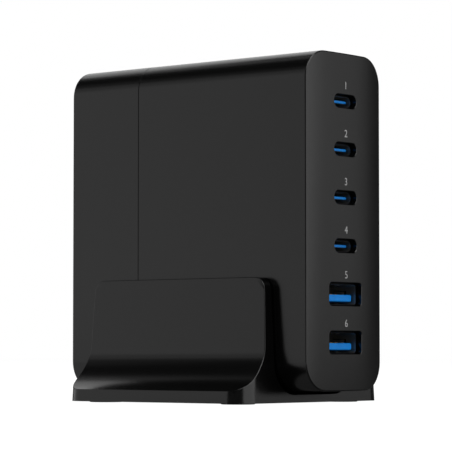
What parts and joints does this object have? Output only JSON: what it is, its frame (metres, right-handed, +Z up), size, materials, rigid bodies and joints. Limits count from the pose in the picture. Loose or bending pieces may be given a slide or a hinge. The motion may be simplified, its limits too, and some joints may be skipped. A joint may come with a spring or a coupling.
{
  "type": "multi port usb desktop charger",
  "caption": "Upright black desktop charger: a slim rounded block with a column of USB-C and USB-A sockets, held on edge in a flared one-piece stand.",
  "frame": {"origin": "on the table, under the middle of the charger's box", "axes": "+Z up, -Y out of the sockets, X across the thickness of the charger"},
  "size_m": [0.06, 0.0818, 0.0908],
  "materials": {
    "housing_plastic": "moulded satin",
    "stand_plastic": "moulded satin",
    "rubber": "moulded matt",
    "socket_steel": "drawn and plated",
    "blue_plastic": "moulded",
    "gold_plating": "plated",
    "inlet_plastic": "moulded",
    "nickel_brass": "turned and plated",
    "circuit_board": "laminate with solder mask",
    "ferrite": "sintered",
    "winding_tape": "polyester tape",
    "enamelled_wire": "wound",
    "capacitor_can": "drawn can",
    "film_capacitor": "potted box",
    "fuse_body": "moulded",
    "aluminium_plate": "stamped",
    "chip_epoxy": "moulded epoxy",
    "silicone_pad": "sheet",
    "insulating_film": "polyester film"
  },
  "bodies": {
    "root": {"front_housing": "housing_plastic", "rear_housing": "housing_plastic", "stand": "stand_plastic", "stand_feet": "rubber", "cradle_pads": "rubber", "usb_c_shell_1": "socket_steel", "usb_c_shell_2": "socket_steel", "usb_c_shell_3": "socket_steel", "usb_c_shell_4": "socket_steel", "usb_a_shell_1": "socket_steel", "usb_a_shell_2": "socket_steel", "usb_c_tongue_1": "blue_plastic", "usb_c_tongue_2": "blue_plastic", "usb_c_tongue_3": "blue_plastic", "usb_c_tongue_4": "blue_plastic", "usb_a_tongue_1": "blue_plastic", "usb_a_tongue_2": "blue_plastic", "usb_a_contacts_1": "gold_plating", "usb_a_contacts_2": "gold_plating", "ac_inlet": "inlet_plastic", "ac_pins": "nickel_brass", "port_board": "circuit_board", "main_board": "circuit_board", "transformer_core": "ferrite", "transformer_winding": "winding_tape", "common_mode_choke": "enamelled_wire", "bulk_capacitors": "capacitor_can", "output_capacitors": "capacitor_can", "filter_capacitor": "film_capacitor", "fuse": "fuse_body", "heat_sink": "aluminium_plate", "heat_spreader": "aluminium_plate", "bridge_rectifier": "chip_epoxy", "power_switches": "chip_epoxy", "port_controllers": "chip_epoxy", "buck_inductors": "chip_epoxy", "thermal_pad": "silicone_pad", "insulating_sheet": "insulating_film"}
  },
  "joints": []
}
